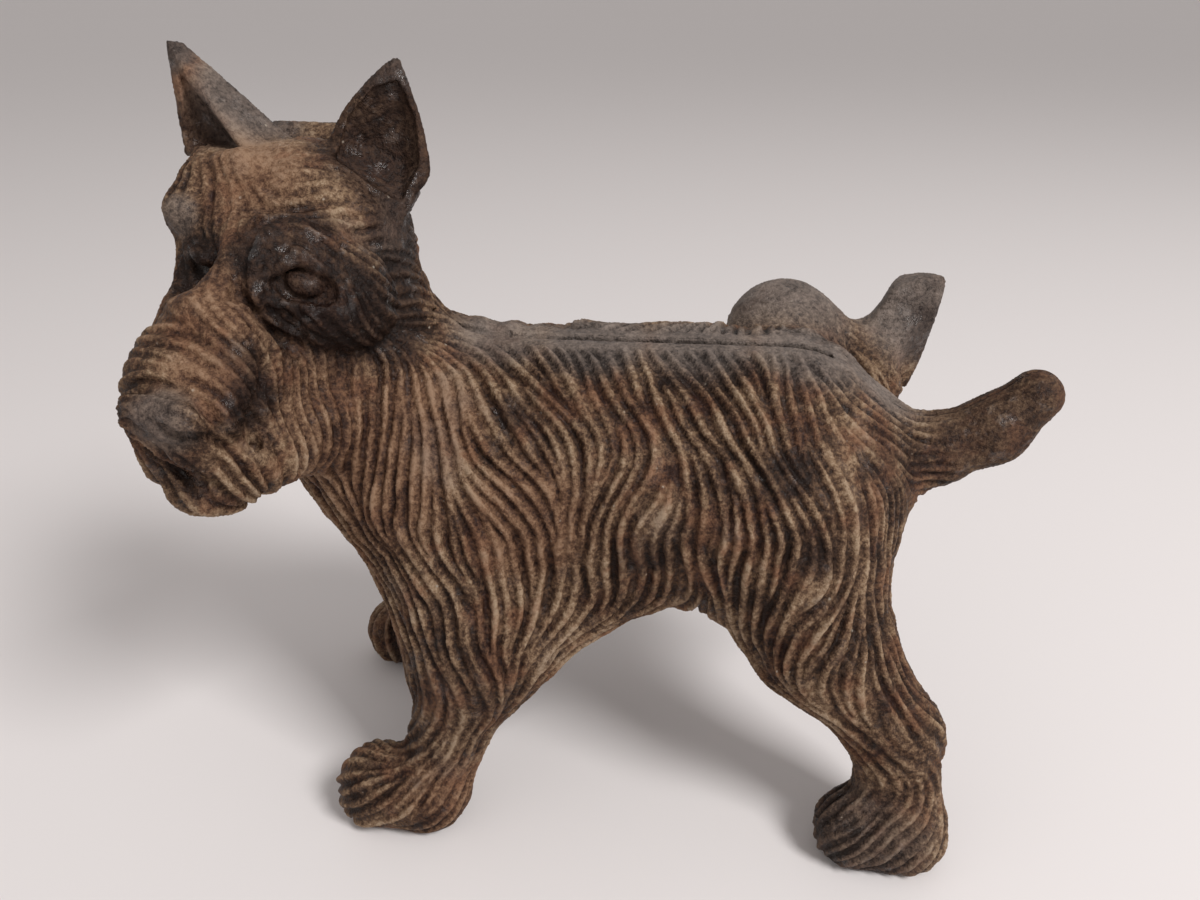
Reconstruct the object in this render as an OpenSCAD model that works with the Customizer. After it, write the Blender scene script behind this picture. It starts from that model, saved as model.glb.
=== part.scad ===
// Cast iron still bank: a wire-haired terrier with one hind leg raised, cast as two hollow
// halves that meet on the dog's mid plane and are drawn together by one long screw.
// +X runs from the nose to the tail, +Y from the near (left) half to the far (right) half.

/* [Body] */
// Height of the back above the soles
back_h = 76; // [72:1:80]
// Radius of the barrel of the body
body_r = 21.5; // [20.5:0.5:22.5]
// Distance from the chest centre to the rump centre
body_l = 54; // [50:1:58]
// Wall thickness of the castings
wall = 3.2; // [2.8:0.2:3.8]

/* [Head] */
// Height of the skull centre above the soles
head_h = 91; // [88:1:94]
// How far the skull centre stands in front of the chest centre
head_reach = 19; // [17:1:21]
// Radius of the skull
skull_r = 14.8; // [14:0.2:16]
// How far the nose stands out to the near side of the skull centre
muzzle_l = 29; // [26:1:31]
// Height of an ear above the top of the skull
ear_h = 12; // [9:1:14]

/* [Legs] */
// Distance of each paw's centre from the mid plane, before the small sway to the near side
paw_y = 22; // [20:1:24]
// Radius of a paw
paw_r = 6.8; // [6:0.2:7.4]
// Height of the raised knee above the soles
raised_h = 70; // [67:1:72]

/* [Coin slot] */
// Length of the slot along the back
slot_l = 42; // [36:1:44]
// Width of the slot, half of it in each casting
slot_w = 2.4; // [2:0.2:3]

/* [Screw] */
// Diameter of the screw's shank
screw_d = 4.8; // [4:0.2:5.4]
// Diameter of the screw's round head
screw_head_d = 9; // [8:0.5:10]
// Height of the screw's head
screw_head_h = 2.6; // [2:0.2:3]

/* [Surface] */
// Size of the facets on the outside of the castings
skin_step = 3.2; // [2.8:0.2:4]
// Size of the facets inside the coin chamber
chamber_step = 4.2; // [3.6:0.2:5]

/* [Hidden] */
$fn = 48;
iron = [0.33, 0.25, 0.2];
steel = [0.45, 0.42, 0.39];

// The mid plane's origin, moved so that the part's box stands centred on the row origin.
centre = [11.75, 3.2, 0];

// Landmarks on the mid plane, all in millimetres from the point below the body's middle.
body_z = back_h - body_r;
chest = [-42, 0, body_z + 1];
rump = chest + [body_l, 0, -1];
skull = [chest.x - head_reach, -5.5, head_h];
nose = skull + [-4, -muzzle_l, -15];
tail_root = rump + [25.5, 0, 5.7];
tail_bend = rump + [33.3, 0, 9.7];
tail_tip = rump + [39, 0, 15.2];

// The standing paws all lean a little to the near side.
sway = -1;

// The slot's middle, behind the middle of the barrel.
slot_behind = 14;

// The screw crosses the barrel a little in front of its middle.
screw_x = -8;
screw_z = body_z - 2.5;
boss_r = 5.2;
boss_face = -4;
head_seat = 19.4;
screw_end = -15.5;
fit_gap = 0.05;
hole_gap = 0.1;
dome_r = (pow(screw_head_d / 2, 2) + pow(screw_head_h, 2)) / (2 * screw_head_h);
driver_slot_w = 1.2;
driver_slot_h = 1.3;

// A limb of the figure: [end, other end, radius, other radius].
trunk = [
    [chest, chest + [14, 0, -7], body_r - 1.5, body_r - 3],
    [chest + [12, 0, -1], rump, body_r, body_r],
    [chest + [24, 6, 8.3], rump + [2, 6, 9.3], body_r - 8.9, body_r - 8.9],
    [chest + [-5, 0, 6], skull + [2, 2, -7], body_r - 5.5, skull_r - 0.5],
    [chest + [-5, -2, 3], skull + [3, -1, -16], body_r - 5, skull_r - 1.5],
];
head = [
    [skull + [3.5, 0, 0], skull - [1.6, 0, 0], skull_r, skull_r - 0.2],
    [skull + [-1, -9, -7], nose, 12.4, 7.6],
    [skull + [0, -5, -14], nose + [0.5, 1.5, -8.5], 12, 6.6],
];
// Forearm, pastern and paw, and the fringe of hair that hangs behind the elbow.
foreleg = function (side, step)
    let (
        elbow = [chest.x + 9 + step / 2, side * 14, 31],
        ankle = [chest.x + 4 + step, side * (paw_y - 2) + sway, 15],
        heel = [chest.x + 2 + step, side * paw_y + sway, paw_r - 1]
    )
    [
        [[chest.x + 4, side * 9, 50], elbow, 15.5, 13],
        [elbow, ankle, 12.5, 5.8],
        [ankle, heel, 5.6, paw_r - 0.4],
        [heel, heel - [9.5, 0, 0], paw_r, paw_r],
        [elbow + [9, -side, 5.5], elbow + [29, -side, 11.5], 9.5, 4],
    ];
knee = [rump.x + 8, -15, 35];
hock = [rump.x + 20.6, -paw_y + 1.5, 21.5];
hind_heel = [rump.x + 22.2, -paw_y + 1.4 * sway, paw_r - 1.5];
hind_leg = [
    [[rump.x + 1.5, -8, 49], knee, 18, 10.8],
    [knee, hock, 10.5, 7],
    [hock, hind_heel, 6.8, paw_r - 0.2],
    [hind_heel, hind_heel - [7.7, 0.4, 0], paw_r - 0.2, paw_r - 0.4],
];
raised_knee = [rump.x + 2.2, 24, raised_h];
raised_hock = [rump.x + 15, 27, raised_h - 6];
raised_toe = [rump.x + 24.5, 29, raised_h + 4.5];
raised_leg = [
    [[rump.x, 6, 54], raised_knee, 15, 9],
    [raised_knee, raised_hock, 8.5, 6.5],
    [raised_hock, raised_toe, 6.2, 5.4],
    [raised_toe, raised_toe + [0, 1, -11.5], 5.6, 4.8],
];
tail = [
    [rump + [10, 0, 3], tail_root, 10.4, 6.4],
    [tail_root, tail_bend, 6.4, 5.3],
    [tail_bend, tail_tip, 5.3, 3.5],
];
figure = concat(trunk, head, foreleg(-1, 0), foreleg(1, -9), hind_leg, raised_leg, tail);
chamber = [
    [chest, rump, body_r - wall - 0.5, body_r - wall],
    [chest + [-2, 0, 7], skull + [3, 2, -7], body_r - wall - 4.5, skull_r - wall - 0.5],
    [skull + [3, 1, -2], skull + [0, 1, -2], skull_r - wall - 0.8, skull_r - wall - 0.8],
];

// How gently neighbouring limbs run into each other.
blend = 5;

// Distance from point p to the rounded limb m, negative inside it.
function limb_distance(p, m) =
    let (run = m[1] - m[0], t = max(0, min(1, (p - m[0]) * run / max(run * run, 0.001))))
    norm(p - m[0] - t * run) - m[2] - t * (m[3] - m[2]);

// The smaller of a and b, with the crease between them rounded over k.
function soft_min(a, b, k) = min(a, b) - pow(max(k - abs(a - b), 0), 2) / (4 * k);

// Distance from p to a whole set of limbs that run into one another.
function form(p, limbs, i = 0) =
    i == len(limbs) - 1 ? limb_distance(p, limbs[i])
    : soft_min(limb_distance(p, limbs[i]), form(p, limbs, i + 1), blend);

// The box that a set of limbs stands in.
function low(limbs, a) = min([for (m = limbs) min(m[0][a] - m[2], m[1][a] - m[3])]);
function high(limbs, a) = max([for (m = limbs) max(m[0][a] + m[2], m[1][a] + m[3])]);

// The eight corners and twelve edges of a unit cell.
corner = [for (i = [0:1], j = [0:1], k = [0:1]) [i, j, k]];
edges = [for (a = [0:7], b = [a + 1:1:7]) if (norm(corner[a] - corner[b]) == 1) [a, b]];

// A closed skin over a set of limbs, with one point in each cell that the surface crosses.
module skin(limbs, step) {
    start = [for (a = [0:2]) low(limbs, a) - 1.6 * step];
    count = [for (a = [0:2]) ceil((high(limbs, a) + 1.6 * step - start[a]) / step)];
    value = [for (i = [0:count.x]) [for (j = [0:count.y]) [for (k = [0:count.z])
        form(start + step * [i, j, k], limbs)]]];
    function at(c) = value[c.x][c.y][c.z];
    function crossed(c) =
        let (inside = [for (n = corner) if (at(c + n) < 0) 1])
        len(inside) > 0 && len(inside) < 8;
    function cell_point(c) =
        let (cuts = [for (e = edges)
            let (a = at(c + corner[e[0]]), b = at(c + corner[e[1]]))
            if ((a < 0) != (b < 0)) corner[e[0]] + (corner[e[1]] - corner[e[0]]) * a / (a - b)])
        start + step * (c + [for (x = cuts) 1] * cuts / len(cuts));
    cells = [for (i = [0:count.x - 1], j = [0:count.y - 1], k = [0:count.z - 1]) [i, j, k]];
    open = [for (c = cells) crossed(c) ? 1 : 0];
    index = [for (i = 0, n = 0; i < len(cells); n = n + open[i], i = i + 1) n];
    function id(c) = index[(c.x * count.y + c.y) * count.z + c.z];
    // Each grid edge that the surface crosses carries one square of the skin.
    squares = [for (c = cells, a = [0:2])
        let (along = [for (n = [0:2]) n == a ? 1 : 0],
            u = [for (n = [0:2]) n == (a + 1) % 3 ? 1 : 0],
            v = [for (n = [0:2]) n == (a + 2) % 3 ? 1 : 0],
            here = at(c) < 0)
        if (min(c) > 0 && here != (at(c + along) < 0))
        let (ring = [id(c), id(c - u), id(c - u - v), id(c - v)])
        here ? [ring[3], ring[2], ring[1], ring[0]] : ring];
    polyhedron(
        points = [for (i = [0:len(cells) - 1]) if (open[i] == 1) cell_point(cells[i])],
        faces = [for (q = squares) each [[q[0], q[1], q[2]], [q[0], q[2], q[3]]]]);
}

// A hollowed, pointed ear over a three-cornered root.
module ear(tip, roots) {
    hull() {
        translate(tip) sphere(1.3, $fn = 16);
        for (r = roots) translate(r) sphere(2.2, $fn = 16);
    }
}

module ears() {
    top = skull.z + skull_r + ear_h;
    ear([skull.x - 13.5, -4.5, top], [skull + [-12, 0, 10], skull + [-6, -3, 11], skull + [-4, 2, 14]]);
    ear([skull.x + 17.5, -4.5, top - 2.5], [skull + [7, -3, 9], skull + [18.5, 0, 7], skull + [12, 2.5, 12]]);
}

// One hollow casting, kept as a single body of facets: side -1 is the near one, 1 the far one.
module shell(side) {
    size = 400;
    resize([0, 0, 0])
        intersection() {
            translate([0, side * size / 2, size / 2]) cube(size, center = true);
            difference() {
                union() {
                    skin(figure, skin_step);
                    ears();
                }
                skin(chamber, chamber_step);
                translate([(chest.x + rump.x) / 2 + slot_behind, 0, back_h])
                    cube([slot_l, slot_w, 6 * wall], center = true);
            }
        }
}

// A round bar across the body, from one distance off the mid plane to another.
module cross_bar(r, from, to) {
    translate([screw_x, from, screw_z]) rotate([-90, 0, 0]) cylinder(r = r, h = to - from);
}

module near_half() {
    color(iron) translate(centre) difference() {
        union() {
            shell(-1);
            cross_bar(boss_r, wall - body_r - 1, boss_face);
        }
        cross_bar(screw_d / 2 + fit_gap, screw_end - 1, boss_face + 1);
    }
}

module far_half() {
    color(iron) translate(centre) difference() {
        union() {
            shell(1);
            cross_bar(boss_r + 1.5, head_seat - 2 * wall, head_seat);
        }
        cross_bar(screw_d / 2 + hole_gap, head_seat - 2 * wall - 1, head_seat + 1);
        cross_bar(screw_head_d / 2 + 0.6, head_seat, head_seat + 20);
    }
}

module assembly_screw() {
    color(steel) translate(centre) difference() {
        union() {
            cross_bar(screw_d / 2, screw_end, head_seat + 0.5);
            translate([screw_x, head_seat, screw_z]) rotate([-90, 0, 0]) rotate_extrude()
                intersection() {
                    translate([0, screw_head_h - dome_r]) circle(dome_r);
                    square([screw_head_d / 2, screw_head_h]);
                }
        }
        translate([screw_x, head_seat + screw_head_h, screw_z])
            cube([screw_head_d + 1, 2 * driver_slot_h, driver_slot_w], center = true);
    }
}

near_half();
far_half();
assembly_screw();
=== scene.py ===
"""A cast iron still bank: a wire-haired terrier cast in two halves, dark iron worn to rust."""

import math

import bmesh
import bpy
import numpy as np
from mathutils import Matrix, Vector


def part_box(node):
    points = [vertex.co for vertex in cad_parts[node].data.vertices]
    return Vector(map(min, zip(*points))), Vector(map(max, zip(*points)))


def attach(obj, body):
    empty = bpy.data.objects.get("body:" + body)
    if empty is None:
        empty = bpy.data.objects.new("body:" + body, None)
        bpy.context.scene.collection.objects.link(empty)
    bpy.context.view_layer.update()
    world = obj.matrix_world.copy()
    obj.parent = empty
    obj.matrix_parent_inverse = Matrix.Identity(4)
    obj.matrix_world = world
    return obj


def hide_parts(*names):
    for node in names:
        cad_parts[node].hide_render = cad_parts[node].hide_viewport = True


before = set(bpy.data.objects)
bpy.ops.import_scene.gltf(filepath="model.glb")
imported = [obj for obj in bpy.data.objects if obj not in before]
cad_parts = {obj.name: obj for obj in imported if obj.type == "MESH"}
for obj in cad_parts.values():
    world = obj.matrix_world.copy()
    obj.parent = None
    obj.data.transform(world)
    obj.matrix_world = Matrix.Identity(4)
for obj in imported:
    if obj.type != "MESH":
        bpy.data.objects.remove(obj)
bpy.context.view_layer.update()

MM = 0.001
# Spacing of the sculpting grid, in millimetres.
STEP = 0.34

# The figure's own frame, in millimetres: +X to the tail, +Y to the far half, origin on the mid plane below
# the body's middle. The screw crosses it at x = -8.
SCREW_X, SCREW_Z = -8.0, 52.0
screw_low, screw_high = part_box("assembly_screw")
near_low, near_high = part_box("near_half")
ORIGIN = np.array([(screw_low[0] + screw_high[0]) / 2 / MM - SCREW_X, near_high[1] / MM, near_low[2] / MM])
# Thickness of the castings, and what is left open between each one and the mid plane.
WALL = 3.2
SEAM_GAP = 0.12
# The screw's boss in the near half, its seat in the far half, and the holes in both: radii and y values.
BOSS_R, BOSS_START, BOSS_END = 5.2, -19.3, -4
TAPPED_R, TAPPED_START = 2.45, -16.5
SEAT_R, SEAT_START, SEAT_END = 6.7, 13, 19.4
HOLE_R, HOLE_END = 2.5, 22
HEAD_HOLE_R = 5.1
# The coin slot.
SLOT_LOW, SLOT_HIGH = (-22.0, -0.8, 62), (20.0, 0.8, 90)


# ---------------------------------------------------------------- sculpting clay

def limb(a, b, ra, rb):
    """A rounded limb from a to b: its distance function and its box."""
    a, b = np.array(a, float), np.array(b, float)
    run = b - a

    def distance(x, y, z):
        t = ((x - a[0]) * run[0] + (y - a[1]) * run[1] + (z - a[2]) * run[2]) / max(run @ run, 1e-6)
        t = np.clip(t, 0, 1)
        gap = np.sqrt((x - a[0] - t * run[0])**2 + (y - a[1] - t * run[1])**2 + (z - a[2] - t * run[2])**2)
        return gap - ra - t * (rb - ra)
    return distance, np.minimum(a - ra, b - rb), np.maximum(a + ra, b + rb)


def turned(angles):
    """Rotation matrix of three angles in degrees about X, then Y, then Z."""
    rx, ry, rz = (math.radians(v) for v in angles)
    mx = np.array([[1, 0, 0], [0, math.cos(rx), -math.sin(rx)], [0, math.sin(rx), math.cos(rx)]])
    my = np.array([[math.cos(ry), 0, math.sin(ry)], [0, 1, 0], [-math.sin(ry), 0, math.cos(ry)]])
    mz = np.array([[math.cos(rz), -math.sin(rz), 0], [math.sin(rz), math.cos(rz), 0], [0, 0, 1]])
    return mz @ my @ mx


def blob(centre, radii, angles=(0, 0, 0)):
    """An ellipsoid of clay with its own turn."""
    centre, radii, axes = np.array(centre, float), np.array(radii, float), turned(angles).T

    def distance(x, y, z):
        q = [m[0] * (x - centre[0]) + m[1] * (y - centre[1]) + m[2] * (z - centre[2]) for m in axes]
        k0 = np.sqrt(sum((v / r)**2 for v, r in zip(q, radii)))
        k1 = np.sqrt(sum((v / r**2)**2 for v, r in zip(q, radii)))
        return k0 * (k0 - 1) / np.maximum(k1, 1e-6)
    reach = radii.max()
    return distance, centre - reach, centre + reach


def faceted(points, rounding=1.0):
    """The convex solid through a few points, with its edges rounded."""
    points = np.array(points, float)
    work = bmesh.new()
    for p in points:
        work.verts.new(p)
    bmesh.ops.convex_hull(work, input=work.verts)
    middle = points.mean(0)
    planes = []
    for face in work.faces:
        n, p = np.array(face.normal), np.array(face.verts[0].co)
        planes.append((n, n @ p) if n @ (p - middle) > 0 else (-n, -(n @ p)))
    work.free()

    def distance(x, y, z):
        d = None
        for n, offset in planes:
            side = x * n[0] + y * n[1] + z * n[2] - offset
            d = side if d is None else soft_max(d, side, rounding)
        return d
    return distance, points.min(0), points.max(0)


def soft_min(a, b, k):
    return np.minimum(a, b) - np.maximum(k - np.abs(a - b), 0)**2 / (4 * k)


def soft_max(a, b, k):
    return np.maximum(a, b) + np.maximum(k - np.abs(a - b), 0)**2 / (4 * k)


class Clay:
    """A signed distance field on a regular grid, negative inside."""

    FAR = 9.0

    def __init__(self, low, high, step):
        self.step = step
        self.low = np.array(low, float)
        self.count = [int(math.ceil((h - l) / step)) + 1 for l, h in zip(low, high)]
        self.axes = [(l + step * np.arange(n)).astype(np.float32) for l, n in zip(low, self.count)]
        self.field = np.full(self.count, self.FAR, np.float32)

    def window(self, low, high, margin):
        cuts = []
        for a in range(3):
            first = int((low[a] - margin - self.low[a]) / self.step)
            last = int((high[a] + margin - self.low[a]) / self.step) + 2
            cuts.append(slice(max(first, 0), max(min(last, self.count[a]), 0)))
        grid = np.meshgrid(*[axis[c] for axis, c in zip(self.axes, cuts)], indexing="ij", sparse=True)
        return tuple(cuts), grid

    def add(self, shape, blend=5.0):
        distance, low, high = shape
        cuts, grid = self.window(low, high, blend + 2)
        self.field[cuts] = soft_min(self.field[cuts], distance(*grid).astype(np.float32), blend)

    def carve(self, shape, blend=1.0):
        distance, low, high = shape
        cuts, grid = self.window(low, high, blend + 2)
        self.field[cuts] = soft_max(self.field[cuts], -distance(*grid).astype(np.float32), blend)

    def slab(self, y_low, y_high):
        """A copy of the clay between two y values."""
        first = max(int((y_low - self.low[1]) / self.step), 0)
        last = min(int((y_high - self.low[1]) / self.step) + 2, self.count[1])
        other = object.__new__(Clay)
        other.step = self.step
        other.low = self.low + np.array([0, first * self.step, 0])
        other.count = [self.count[0], last - first, self.count[2]]
        other.axes = [self.axes[0], self.axes[1][first:last], self.axes[2]]
        other.field = self.field[:, first:last].copy()
        return other

    def sample(self, points):
        """The field at points, between its grid values."""
        return trilinear(self.field, (points - self.low) / self.step)


def trilinear(volume, q):
    q = np.clip(q, 0, np.array(volume.shape[:3]) - 1.001)
    i = q.astype(np.int32)
    f = (q - i).astype(np.float32)
    out = 0
    for dx in (0, 1):
        wx = f[:, 0] if dx else 1 - f[:, 0]
        for dy in (0, 1):
            wy = wx * (f[:, 1] if dy else 1 - f[:, 1])
            for dz in (0, 1):
                w = wy * (f[:, 2] if dz else 1 - f[:, 2])
                value = volume[i[:, 0] + dx, i[:, 1] + dy, i[:, 2] + dz]
                out = out + (w[:, None] * value if value.ndim > 1 else w * value)
    return out


def surface(field, low, step):
    """The closed quad skin of a field: one point in each cell that the surface crosses."""
    nx, ny, nz = field.shape
    inside = field < 0
    mixed = np.zeros((nx - 1, ny - 1, nz - 1), np.uint8)
    corners = [(i, j, k) for i in (0, 1) for j in (0, 1) for k in (0, 1)]
    for i, j, k in corners:
        mixed += inside[i:nx - 1 + i, j:ny - 1 + j, k:nz - 1 + k]
    cells = np.argwhere((mixed > 0) & (mixed < 8)).astype(np.int32)
    number = np.full(mixed.shape, -1, np.int32)
    number[tuple(cells.T)] = np.arange(len(cells), dtype=np.int32)
    total = np.zeros((len(cells), 3), np.float32)
    hits = np.zeros(len(cells), np.float32)
    for axis in range(3):
        for p in (0, 1):
            for q in (0, 1):
                start = np.insert([p, q], axis, 0)
                end = start.copy()
                end[axis] = 1
                a = field[tuple((cells + start).T)]
                b = field[tuple((cells + end).T)]
                cut = (a < 0) != (b < 0)
                t = np.where(cut, a / np.where(cut, a - b, 1), 0)
                total += cut[:, None] * (start + t[:, None] * (end - start))
                hits += cut
    points = low + step * (cells + total / hits[:, None])
    quads = []
    for axis in range(3):
        a, b = [n for n in range(3) if n != axis]
        lo = [slice(0, n) for n in field.shape]
        hi = list(lo)
        lo[axis], hi[axis] = slice(0, -1), slice(1, None)
        change = inside[tuple(lo)] != inside[tuple(hi)]
        at = np.argwhere(change).astype(np.int32)
        at = at[(at[:, a] > 0) & (at[:, b] > 0)]
        goes_out = inside[tuple(at.T)]
        ring = []
        for da, db in ((0, 0), (1, 0), (1, 1), (0, 1)):
            c = at.copy()
            c[:, a] -= da
            c[:, b] -= db
            ring.append(number[tuple(c.T)])
        ring = np.stack(ring, 1)
        flip = goes_out if axis == 1 else ~goes_out
        ring[flip] = ring[flip][:, ::-1]
        quads.append(ring)
    return points, np.concatenate(quads), number


# ---------------------------------------------------------------- the terrier's form

def trunk(clay):
    """Chest, barrel and neck."""
    clay.add(limb((-41.2, 0, 56), (-28, 0, 48.5), 19.4, 18.5))
    clay.add(limb((-30, 0, 54.5), (12, 0, 54.5), 21.5, 21.5))
    clay.add(limb((-47, 0, 61.5), (-59, -3.5, 84), 16, 14.3))
    clay.add(limb((-47, -2, 58.5), (-58, -6.5, 75), 16.5, 13.3))


def forelegs(clay):
    """On each side a shoulder, forearm, pastern and paw, with a fringe of hair behind the elbow."""
    for side, ahead, out in ((-1, 0, 23), (1, -9, 21)):
        clay.add(limb((-38, side * 9, 50), (-33 + ahead / 2, side * 14, 31), 15.5, 12.3))
        clay.add(limb((-33 + ahead / 2, side * 14, 31), (-38 + ahead, side * (out - 2), 15), 12.0, 5.8))
        clay.add(limb((-38 + ahead, side * (out - 2), 15), (-40.8 + ahead, side * out, 6), 5.6, 6.2), 3)
        clay.add(limb((-42 + ahead, side * out, 5.6), (-49.5 + ahead, side * out, 5.6), 6.8, 6.8), 3)
        clay.add(limb((-24 + ahead / 2, side * 13, 36.5), (-4 + ahead, side * 13, 42.5), 9.5, 4))


def near_hind_leg(clay):
    """Thigh, shin, hock and paw."""
    clay.add(limb((13.5, -8, 49), (20, -15, 35), 18, 10.8))
    clay.add(limb((19.6, -15, 35), (32.1, -20.5, 21.5), 10.1, 6.7), 4)
    clay.add(limb((32.1, -20.5, 21.5), (34.0, -23.4, 6), 6.5, 6.6), 3)
    clay.add(limb((34.2, -23.4, 5.2), (27.2, -23.8, 5), 6.6, 6.4), 3)


def raised_hind_leg(clay):
    """The far hind leg, lifted with its paw in the air."""
    clay.add(limb((12, 6, 54), (14.2, 24, 69.8), 15, 9))
    clay.add(limb((14.2, 24, 69.8), (27, 27, 64), 8.5, 6.5))
    clay.add(limb((27, 27, 64), (34, 29, 70), 6.2, 4.5), 3)
    clay.add(limb((16, 16, 58), (31.5, 26, 59.6), 9, 4.6), 3)
    clay.add(faceted([(28.6, 26, 71), (31.6, 26, 77.5), (41.5, 27, 81), (42.8, 28.5, 78.5), (41.5, 29, 68),
                      (38.2, 29, 56.5), (30.5, 33, 71), (34, 34, 79.5), (40.5, 33, 80), (38.5, 33, 64),
                      (33, 31, 61)], 1.6), 2)


def tail(clay):
    clay.add(limb((22, 0, 57.4), (37.0, 0, 59.7), 9.4, 5.1))
    clay.add(limb((37.0, 0, 59.7), (45.2, 0, 63.4), 5.1, 4.7), 3)
    clay.add(limb((45.2, 0, 63.4), (50.6, 0, 69.2), 4.7, 4.0), 3)


def head_form(clay):
    """Skull, muzzle and jaw."""
    clay.add(limb((-57.5, -5.5, 91), (-62.6, -5.5, 91), 14.8, 14.6))
    clay.add(limb((-69.6, -6, 101.0), (-70.2, -12, 97.4), 4.4, 4.4), 3)
    clay.add(limb((-62, -14.5, 84), (-65, -34.5, 76), 12.4, 7.6), 4)
    clay.add(limb((-61, -10.5, 77), (-63.9, -33, 67.8), 12, 6.3), 4)
    clay.add(limb((-61, -32, 66.7), (-54.8, -19, 67.2), 4.5, 6.0), 4)
    clay.carve(blob((-80.0, -15.5, 88.5), (7.2, 9.5, 6.6)), 3)
    clay.carve(limb((-37.3, -8, 83.6), (-37.3, 10, 83.6), 3.2, 3.2), 3)


def brows(clay):
    """The brow over each eye, and the bony bridge between them."""
    clay.add(blob((-70.4, -14.4, 96.8), (3.9, 3.8, 3.1), (0, 20, 0)), 1.5)
    clay.add(limb((-60.2, -22.6, 93.0), (-57.0, -21.6, 96.0), 1.8, 2.2), 1.2)
    clay.add(limb((-57.0, -21.6, 96.0), (-49.5, -17.6, 95.0), 2.2, 2.0), 1.2)
    clay.add(limb((-60.8, -19.5, 95.0), (-61.6, -28, 88.5), 2.2, 3.0), 2)


def eye_pouch(clay):
    """The heavy pouch round the dog's left eye, which hangs over its cheek."""
    clay.add(blob((-51.9, -18.6, 88.0), (11.6, 6.9, 8.2), (0, 33, 27)), 0.7)
    clay.add(blob((-57.0, -22.6, 91.6), (3.4, 2.8, 4.2), (0, 20, 27)), 1.5)
    rim = [(-57.6, -26.8, 88.6), (-57.2, -25.2, 92.6), (-55.4, -23.4, 95.2), (-52.8, -21.6, 95.8),
           (-49.8, -20.4, 94.2)]
    for start, end in zip(rim, rim[1:]):
        clay.add(limb(start, end, 2.2, 2.2), 0.8)
    fold = [(-49.4, -19.8, 97.6), (-53.0, -19.8, 98.4), (-56.4, -22.2, 97.8), (-58.5, -25.2, 95.6),
            (-58.8, -27.6, 92.4), (-58.4, -28.8, 89.4), (-56.6, -27.8, 84.8), (-53.4, -24.6, 81.0),
            (-49.0, -21.0, 78.4), (-45.0, -16.4, 76.8)]
    for start, end in zip(fold, fold[1:]):
        clay.carve(limb(start, end, 1.1, 1.1), 0.6)


def right_eye(clay):
    """A sunken socket with a small ball in it."""
    clay.carve(blob((-67.6, -24.2, 92.0), (4.6, 4.4, 4.6), (0, 20, -20)), 1.5)
    clay.add(blob((-66.4, -20.6, 92.4), (2.2, 1.8, 1.5), (0, 20, -20)), 0.6)


def muzzle_edge(clay):
    """The fur of the muzzle stands up in an edge below both eyes."""
    clay.add(limb((-66.8, -28.6, 86.4), (-63.6, -30.6, 87.6), 2.2, 2.5), 1.0)
    clay.add(limb((-63.6, -30.6, 87.6), (-59.0, -30.6, 86.6), 2.5, 2.3), 1.0)


def left_eye(clay):
    """A socket, the ball in it, and a fold of lid above and below."""
    clay.carve(blob((-51.5, -25.6, 90.2), (5.0, 2.5, 3.1), (0, 26, 27)), 0.5)
    clay.add(blob((-51.8, -23.5, 89.8), (2.6, 1.8, 1.7), (0, 26, 27)), 0.3)
    clay.add(limb((-56.2, -26.4, 91.0), (-52.0, -24.6, 93.6), 0.7, 1.1), 0.6)
    clay.add(limb((-52.0, -24.6, 93.6), (-46.4, -21.6, 89.4), 1.1, 0.7), 0.6)
    clay.add(limb((-55.2, -26.8, 88.0), (-49.4, -24.4, 86.2), 0.7, 0.9), 0.6)


def muzzle_side(clay):
    """The muzzle stands proud of the cheek, with a deep pit at the corner of the lips."""
    clay.carve(limb((-56.2, -29.5, 86.0), (-55.6, -31.5, 80.5), 1.2, 1.5), 1.5)
    clay.carve(limb((-55.6, -31.5, 80.5), (-56.6, -34.6, 74.5), 1.5, 2.2), 1.5)
    clay.carve(limb((-56.6, -33.8, 74.5), (-57.6, -32.6, 70.0), 1.4, 0.8), 1.2)
    clay.add(limb((-60.2, -30.5, 83.5), (-60.4, -36.0, 77.0), 4.6, 4.0), 2)
    clay.add(blob((-66.8, -32.5, 80.0), (5.2, 5.5, 5.5)), 3)


def nose_and_lips(clay):
    """Nose pad with a crease over it, nostrils, and the lips below them."""
    clay.add(limb((-67.4, -39.8, 77.5), (-61.6, -40.7, 77.3), 3.2, 3.4), 0.6)
    clay.carve(limb((-70.6, -39.6, 80.0), (-65.4, -40.6, 81.8), 1.1, 1.4), 0.4)
    clay.carve(limb((-65.4, -40.6, 81.8), (-59.4, -40.6, 80.8), 1.4, 1.4), 0.4)
    clay.carve(limb((-59.4, -40.6, 80.8), (-57.4, -40.0, 75.6), 1.4, 1.3), 0.4)
    clay.carve(limb((-68.2, -43.0, 76.8), (-65.4, -43.6, 74.6), 1.1, 1.2), 0.5)
    clay.carve(limb((-63.4, -43.8, 76.9), (-60.2, -42.2, 75.2), 1.0, 1.4), 0.5)
    clay.add(limb((-63.4, -43.1, 78.4), (-60.6, -42.4, 77.6), 0.5, 0.5), 0.5)
    clay.add(limb((-62.4, -38.6, 73.2), (-59.2, -33.4, 66.0), 2.8, 1.8), 1.2)
    clay.add(limb((-63.4, -40.9, 72.8), (-58.2, -36.4, 66.0), 1.1, 1.0), 0.8)
    clay.add(limb((-61.0, -40.2, 73.6), (-57.6, -35.0, 68.6), 0.9, 0.9), 0.8)
    clay.add(limb((-67.2, -38.4, 72.6), (-68.2, -36.6, 68.5), 2.4, 1.8), 1.2)


def mouth_and_chin(clay):
    """Open lips over the bearded chin."""
    clay.carve(limb((-65.8, -41.0, 69.6), (-61.4, -38.8, 66.8), 1.8, 1.5), 1.0)
    clay.add(blob((-63.4, -35.4, 65.2), (4.8, 4.6, 2.8), (0, 12, 15)), 1.2)


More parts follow.
